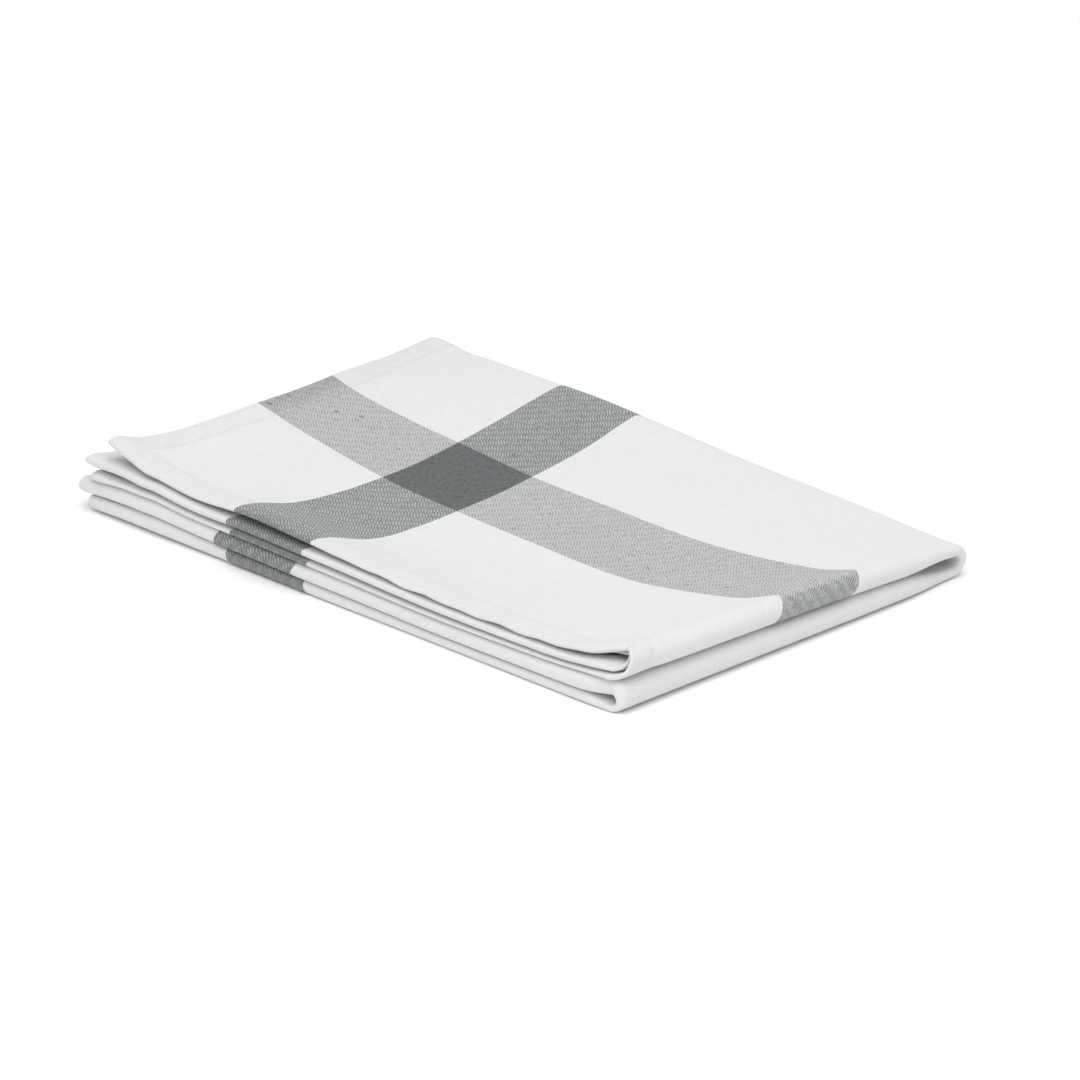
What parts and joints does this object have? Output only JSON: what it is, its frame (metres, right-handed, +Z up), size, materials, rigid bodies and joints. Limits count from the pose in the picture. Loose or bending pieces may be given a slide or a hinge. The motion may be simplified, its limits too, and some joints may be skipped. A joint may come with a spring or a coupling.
{
  "type": "tea towel",
  "caption": "White cotton tea towel with woven grey stripes that cross near its corners, hemmed all round and folded into a flat rectangular packet.",
  "frame": {"origin": "centre of the packet's bounding box at its underside, where it lies on the table", "axes": "+X along the packet's long side, from the hemmed ends to the loop folds; +Y from the open front edges to the last fold at the back; +Z up"},
  "size_m": [0.2538, 0.1716, 0.0286],
  "materials": {
    "cotton": "matte white cotton twill with woven grey stripes"
  },
  "bodies": {
    "root": {"towel_cloth": "cotton"}
  },
  "joints": []
}
